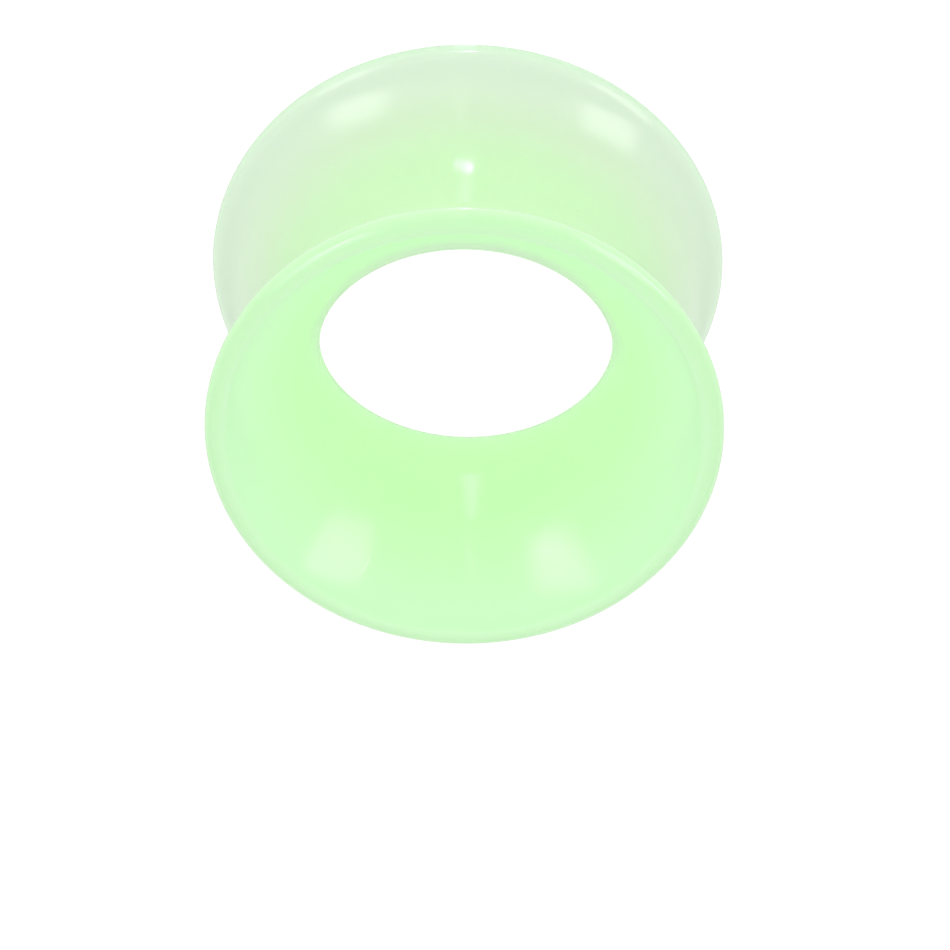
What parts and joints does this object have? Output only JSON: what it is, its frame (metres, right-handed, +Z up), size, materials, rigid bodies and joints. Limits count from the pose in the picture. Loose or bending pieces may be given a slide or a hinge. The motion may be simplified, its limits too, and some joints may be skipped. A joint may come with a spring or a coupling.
{
  "type": "ear tunnel",
  "caption": "Soft see-through ring with a narrow waist and a flared, round-lipped flange at each end, worn in a stretched ear lobe.",
  "frame": {"origin": "centre of the circle on which the lower flange rests, on the bore's axis", "axes": "+Z up along the bore's axis, from the flange it rests on to the upper flange; X and Y are alike, because the ring is round"},
  "size_m": [0.0194, 0.0194, 0.0124],
  "materials": {
    "silicone": "satin, translucent"
  },
  "bodies": {
    "root": {"ear_tunnel": "silicone"}
  },
  "joints": []
}
